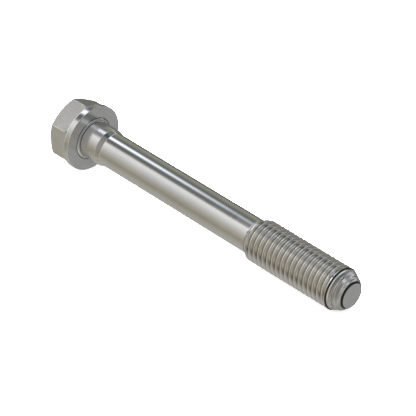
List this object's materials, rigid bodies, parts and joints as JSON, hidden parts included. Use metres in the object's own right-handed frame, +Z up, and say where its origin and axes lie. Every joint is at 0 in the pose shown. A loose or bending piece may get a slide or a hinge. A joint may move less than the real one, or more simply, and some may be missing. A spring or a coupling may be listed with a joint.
{
  "type": "flanged hex cap screw",
  "caption": "Long hex cap screw with a round flange, a fitted collar, a reduced shank and a threaded end with a tapered lead, lying as it comes to rest.",
  "frame": {"origin": "centre of the bearing face under the flange, on the screw's axis", "axes": "+X level along the screw towards its tip, +Z up; the axis dips 2.1 degrees below +X, because the screw lies on its flange rim and its thread"},
  "size_m": [0.13, 0.0234, 0.0236],
  "materials": {
    "steel": "turned and ground bare steel, satin to bright"
  },
  "bodies": {
    "root": {"cap_screw": "steel"}
  },
  "joints": []
}
